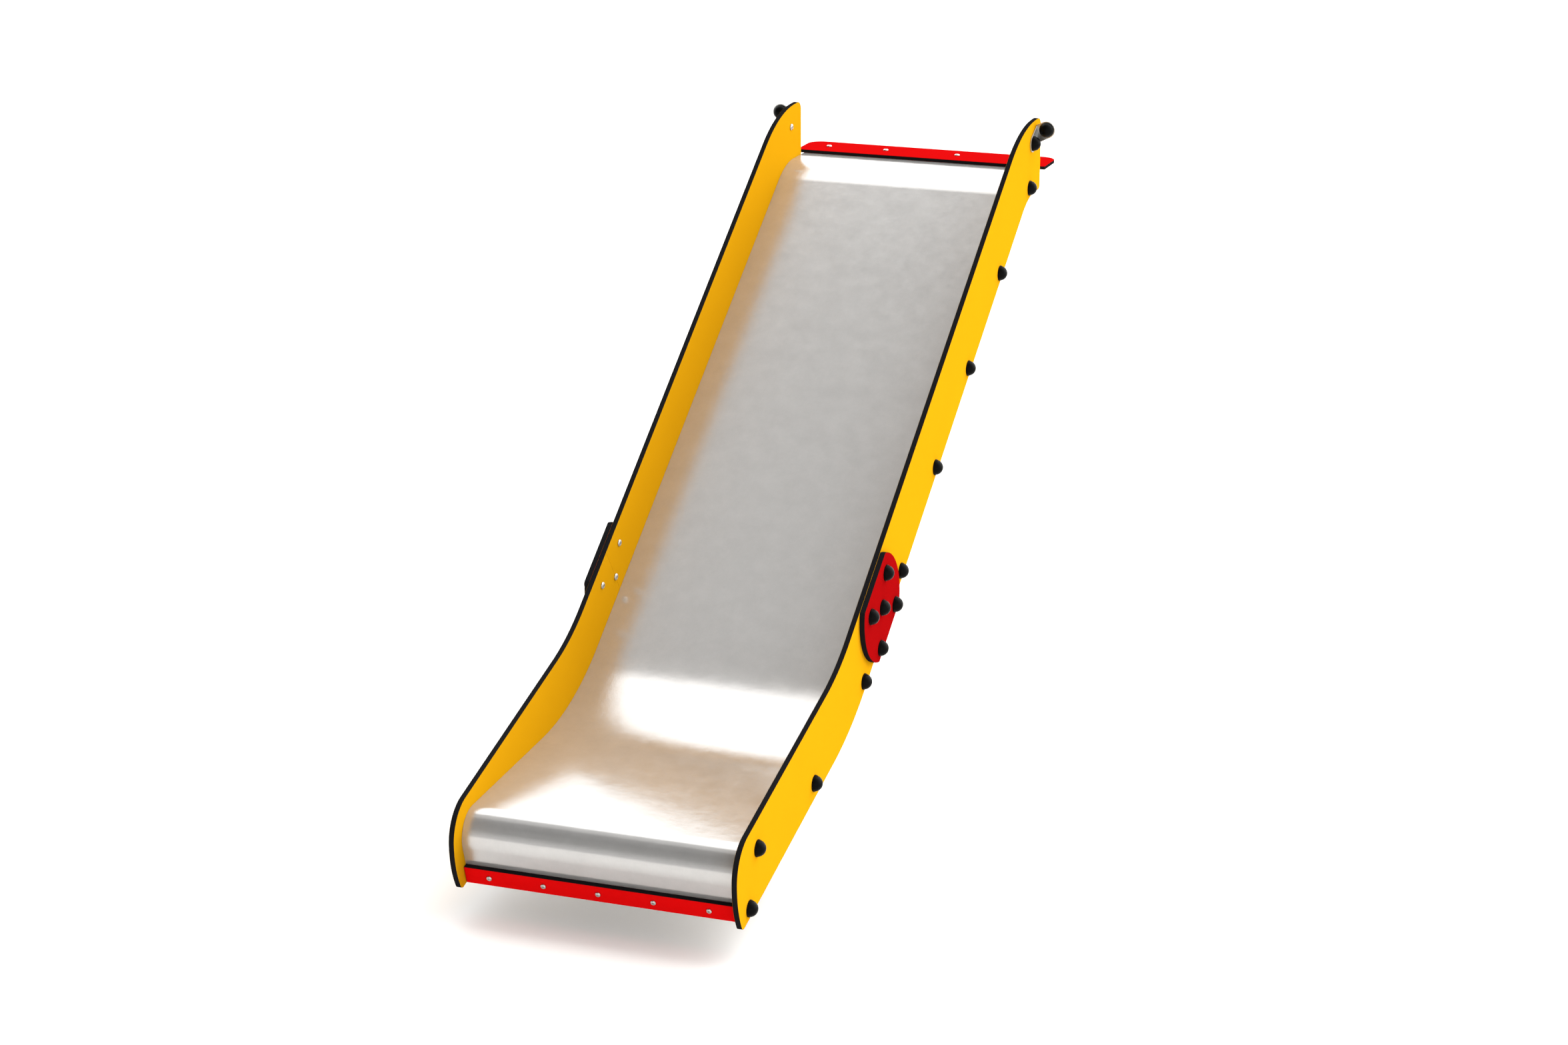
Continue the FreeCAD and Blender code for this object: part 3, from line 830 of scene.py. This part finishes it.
bolt_models = {}
for side, outward in (("left", -1.0), ("right", 1.0)):
    for part in ("_side_bolts", "_joint_plate_bolts"):
        sets = []
        for low, high in solid_boxes(side + part):
            length = round(high.x - low.x - bolt_head_height, 5)
            if length not in bolt_models:
                bolt_models[length] = round_head(
                    bolt_head_radius, bolt_head_height, bolt_radius, length
                )
            seat = (low + high) / 2
            inner = low.x if outward > 0 else high.x
            seat.x = inner + outward * bolt_head_height
            sets.append((bolt_models[length], seat, (-outward, 0.0, 0.0)))
        bolts = set_copies(sets, side + part + "_turned")
        fit_piece(bolts, side + part, fastener_steel)
discard(*bolt_models.values())

top_screw_boxes = solid_boxes("top_strip_screws")
screw_length = top_screw_boxes[0][1].z - top_screw_boxes[0][0].z - screw_head_height
screw_model = round_head(screw_head_radius, screw_head_height, screw_radius, screw_length)
screw_sets = []
for low, high in top_screw_boxes:
    seat = (low + high) / 2
    seat.z = high.z - screw_head_height
    screw_sets.append((screw_model, seat, (0.0, 0.0, 1.0)))
screws = set_copies(screw_sets, "platform_strip_screws")
fit_piece(screws, "top_strip_screws", fastener_steel)
discard(screw_model)

nose_screw_length = strip_thickness + sheet_thickness + bar_hold
strip_centre = (
    nose_centre
    + tuck_normal * (nose_radius + strip_thickness)
    + tuck_down * (tuck_length - strip_height / 2)
)
screw_model = round_head(
    nose_screw_head_radius, screw_head_height, screw_radius, nose_screw_length
)
screw_sets = []
for low, high in solid_boxes("bottom_strip_screws"):
    seat = strip_centre.copy()
    seat.x = (low.x + high.x) / 2
    screw_sets.append((screw_model, seat, tuple(tuck_normal)))
screws = set_copies(screw_sets, "exit_strip_screws")
fit_piece(screws, "bottom_strip_screws", fastener_steel)
discard(screw_model)

# Under the caps: hexagon heads, nuts and washers, in the same steel.
for side in ("left", "right"):
    for part in ("_end_bolts", "_tower_bolt", "_nuts", "_washers"):
        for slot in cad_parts[side + part].material_slots:
            slot.material = fastener_steel

# ---------------------------------------------------------------------------
# Tower brackets and bed stiffeners: folded from plain stainless plate, with
# their laser-cut edges taken off. The stiffeners are welded under the bed.
# ---------------------------------------------------------------------------
cut_segments = 2
plate_colour = (0.46, 0.46, 0.45, 1.0)
plate_steel = steel_finish(
    "plate_steel", plate_colour, 0.34, 0.08, 0.14, (1.0, 0.05, 1.0), 0.0003
)
for node, radius in (
    ("left_tower_bracket", 0.0006),
    ("right_tower_bracket", 0.0006),
    ("bed_stiffeners", 0.0005),
):
    plate = cut_copy(node)
    route_edges(plate, radius, cut_segments)
    fit_piece(put_down(plate, node + "_folded"), node, plate_steel)

# ---------------------------------------------------------------------------
# The aluminium bar behind the exit strip: extruded flat bar, plain, that the
# strip's screws and the two lowest side bolts go into.
# ---------------------------------------------------------------------------
bar_edge = 0.0010
bar_colour = (0.66, 0.66, 0.67, 1.0)
bar_aluminium = steel_finish(
    "bar_aluminium", bar_colour, 0.38, 0.12, 0.06, (0.02, 1.0, 1.0), 0.0002
)
batten = cut_copy("bottom_batten")
route_edges(batten, bar_edge, cut_segments)
fit_piece(put_down(batten, "exit_bar"), "bottom_batten", bar_aluminium)

# ---------------------------------------------------------------------------
# The support under the run-out: square steel tube and plate, welded together
# and hot-dip galvanised, which leaves a spangled, cloudy grey zinc skin.
# ---------------------------------------------------------------------------
zinc_dark = (0.27, 0.29, 0.31, 1.0)
zinc_light = (0.46, 0.48, 0.50, 1.0)
member_edge = 0.0012
block_edge = 0.0006
spangle_scale = 160.0
cloud_scale = 22.0
flake_share = 0.45
cloud_share = 0.6
zinc_roughness = 0.40
flake_dulling = 0.22
zinc_metallic = 0.75
zinc_bump = 0.25
zinc_depth = 0.0006
zinc, tree, shader, place = new_finish("zinc")
spangle = add_node(
    tree, "ShaderNodeTexVoronoi", {"feature": "F1"}, Vector=place, Scale=spangle_scale
).outputs["Color"]
flake = add_node(tree, "ShaderNodeSeparateColor", Color=spangle).outputs[0]
cloud = noise(tree, place, cloud_scale, 4.0, 0.6)
flakes = maths(tree, "MULTIPLY", flake, flake_share)
blend = maths(tree, "ADD", flakes, maths(tree, "MULTIPLY", cloud, cloud_share))
tree.links.new(tint(tree, blend, zinc_dark, zinc_light), shader.inputs["Base Color"])
dulled = maths(tree, "ADD", zinc_roughness, maths(tree, "MULTIPLY", flake, flake_dulling))
tree.links.new(dulled, shader.inputs["Roughness"])
shader.inputs["Metallic"].default_value = zinc_metallic
bumped(tree, shader, cloud, zinc_bump, zinc_depth)

for node, radius in (
    ("support_crossbar", member_edge),
    ("left_crossbar_end_block", block_edge),
    ("right_crossbar_end_block", block_edge),
    ("left_support_leg", member_edge),
    ("right_support_leg", member_edge),
    ("left_base_plate", member_edge),
    ("right_base_plate", member_edge),
):
    member = cut_copy(node)
    route_edges(member, radius, cut_segments)
    fit_piece(put_down(member, node + "_zinc"), node, zinc)

# ---------------------------------------------------------------------------
# Camera, floor and light: a plain pale floor under a studio that is bright
# behind and above the slide, dim in front of it, and softly lit from the right.
# The camera itself sees plain white all round.
# ---------------------------------------------------------------------------
lens = 80.0
sensor = 36.0
floor_size = 60.0
floor_colour = (0.84, 0.828, 0.812, 1.0)
floor_roughness = 0.9
key_level = 1.2
rear_level = 2.0
top_level = 3.0
surround_colour = (1.0, 0.995, 0.985, 1.0)
camera_place = Vector((2.558, -7.016, 2.901))
aim = Vector((0.03, -0.06, 0.585))

camera_data = bpy.data.cameras.new("camera")
camera_data.lens = lens
camera_data.sensor_width = sensor
camera = bpy.data.objects.new("camera", camera_data)
bpy.context.scene.collection.objects.link(camera)
camera.location = camera_place
camera.rotation_euler = (aim - camera_place).to_track_quat("-Z", "Y").to_euler()
bpy.context.scene.camera = camera
bpy.context.scene.view_settings.view_transform = "Standard"

bpy.ops.mesh.primitive_plane_add(size=floor_size, location=(0.0, 0.0, 0.0))
floor = bpy.context.object
floor.name = "floor"
floor_paint, tree, shader, place = new_finish("floor_paint")
shader.inputs["Base Color"].default_value = floor_colour
shader.inputs["Roughness"].default_value = floor_roughness
floor.data.materials.append(floor_paint)

world = bpy.data.worlds.new("studio")
bpy.context.scene.world = world
world.use_nodes = True
tree = world.node_tree
tree.nodes.clear()
towards = add_node(tree, "ShaderNodeTexCoord").outputs["Generated"]
parts = add_node(tree, "ShaderNodeSeparateXYZ", Vector=towards).outputs
swing = maths(tree, "ARCTAN2", parts[2], parts[1])
turn = maths(tree, "DIVIDE", maths(tree, "MAXIMUM", swing, 0.0), math.pi)
ramp = tree.nodes.new("ShaderNodeValToRGB")
tree.links.new(turn, ramp.inputs[0])
# Brightness from the rear horizon, at 0 degrees, over the top to the front one, at 180.
sky = [
    (0.0, 2.3),
    (30.0, 2.5),
    (38.0, 2.9),
    (77.0, 3.0),
    (82.0, 0.78),
    (95.0, 0.68),
    (102.0, 0.16),
    (125.0, 0.06),
    (150.0, 0.22),
    (164.0, 0.60),
    (180.0, 1.00),
]
stops = ramp.color_ramp.elements
while len(stops) < len(sky):
    stops.new(0.5)
for stop, (degrees, brightness) in zip(stops, sky):
    stop.position = degrees / 180.0
for stop, (degrees, brightness) in zip(stops, sky):
    share = brightness / top_level
    stop.color = (share, share, share, 1.0)
from_right = add_node(
    tree, "ShaderNodeMapRange", Value=parts[0], From_Min=0.0, From_Max=0.35, To_Min=0.0, To_Max=1.0
).outputs[0]
from_front = add_node(
    tree, "ShaderNodeMapRange", Value=parts[1], From_Min=0.1, From_Max=-0.3, To_Min=0.0, To_Max=1.0
).outputs[0]
from_rear = maths(tree, "SUBTRACT", 1.0, from_front)
front_key = maths(tree, "MULTIPLY", from_front, key_level)
fill = maths(tree, "MULTIPLY_ADD", from_rear, rear_level, front_key)
key = maths(tree, "MULTIPLY", from_right, fill)
strength = maths(tree, "MULTIPLY_ADD", ramp.outputs[0], top_level, key)
surround = add_node(tree, "ShaderNodeBackground", Color=surround_colour, Strength=strength)
plain = add_node(tree, "ShaderNodeBackground", Color=(1.0, 1.0, 1.0, 1.0), Strength=1.0)
seen = add_node(tree, "ShaderNodeLightPath").outputs["Is Camera Ray"]
mixed = add_node(
    tree, "ShaderNodeMixShader", i0=seen, i1=surround.outputs[0], i2=plain.outputs[0]
)
world_output = tree.nodes.new("ShaderNodeOutputWorld")
tree.links.new(mixed.outputs[0], world_output.inputs[0])
